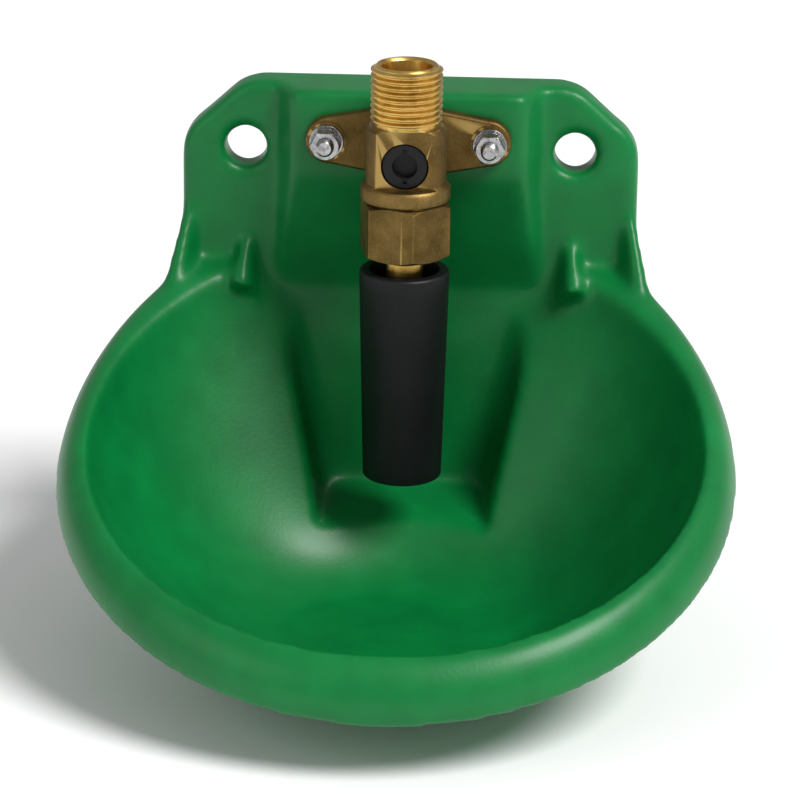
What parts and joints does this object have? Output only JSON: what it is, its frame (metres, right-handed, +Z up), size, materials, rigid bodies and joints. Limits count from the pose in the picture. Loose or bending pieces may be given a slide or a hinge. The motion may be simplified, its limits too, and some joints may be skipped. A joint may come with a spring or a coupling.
{
  "type": "animal drinking bowl",
  "caption": "Wall-mounted green plastic animal drinking bowl with a brass valve that opens when the hanging black push tube is tilted; threaded water inlet on top.",
  "frame": {"origin": "midway between the two wall holes, on the plane that touches the wall", "axes": "+Z up, +Y towards the wall, +X to the right as seen by someone facing the bowl"},
  "size_m": [0.195, 0.1796, 0.163],
  "materials": {
    "green_plastic": "semi-gloss moulded",
    "cast_brass": "dull cast",
    "turned_brass": "turned",
    "steel": "plain",
    "black_plastic": "satin",
    "white_plastic": "matt",
    "rubber": "matt"
  },
  "bodies": {
    "drinker": {"bowl": "green_plastic", "valve_body": "cast_brass", "inlet_strainer": "steel", "union_nut": "cast_brass", "seat_holder": "turned_brass", "seat_ring": "rubber", "nut_gasket": "rubber", "closing_spring": "steel", "valve_bolts": "steel", "rear_washers": "steel", "front_washers": "steel", "lock_washers": "steel", "valve_nuts": "steel"},
    "cap": {"spring_cap": "white_plastic"},
    "stem": {"valve_stem": "turned_brass", "tube_bush": "black_plastic", "stem_washer": "steel", "stem_nut": "steel", "push_tube": "black_plastic"},
    "adjuster_seal": {"adjuster_o_ring": "rubber"},
    "adjuster": {"flow_adjuster": "black_plastic"}
  },
  "joints": [
    {"name": "tube_fore_aft", "type": "hinge", "parent": "drinker", "child": "cap", "pos_m": [0, -0.0425, -0.01309], "axis": [1, 0, 0], "range_deg": [-7, 7], "stiffness_Nm_per_rad": 0.6},
    {"name": "tube_sideways", "type": "hinge", "parent": "cap", "child": "stem", "pos_m": [0, -0.0425, -0.01309], "axis": [0, 1, 0], "range_deg": [-7, 7], "stiffness_Nm_per_rad": 0.6},
    {"name": "adjuster_advance", "type": "slide", "parent": "drinker", "child": "adjuster_seal", "axis": [0, 1, 0], "range_m": [-0.00075, 0.00075]},
    {"name": "adjuster_turn", "type": "hinge", "parent": "adjuster_seal", "child": "adjuster", "pos_m": [0, -0.05, 0.006], "axis": [0, 1, 0], "range_deg": [-180, 180]}
  ],
  "couplings": [
    {"joint": "adjuster_turn", "follows": "adjuster_advance", "rad_per_m": 4188.8}
  ]
}
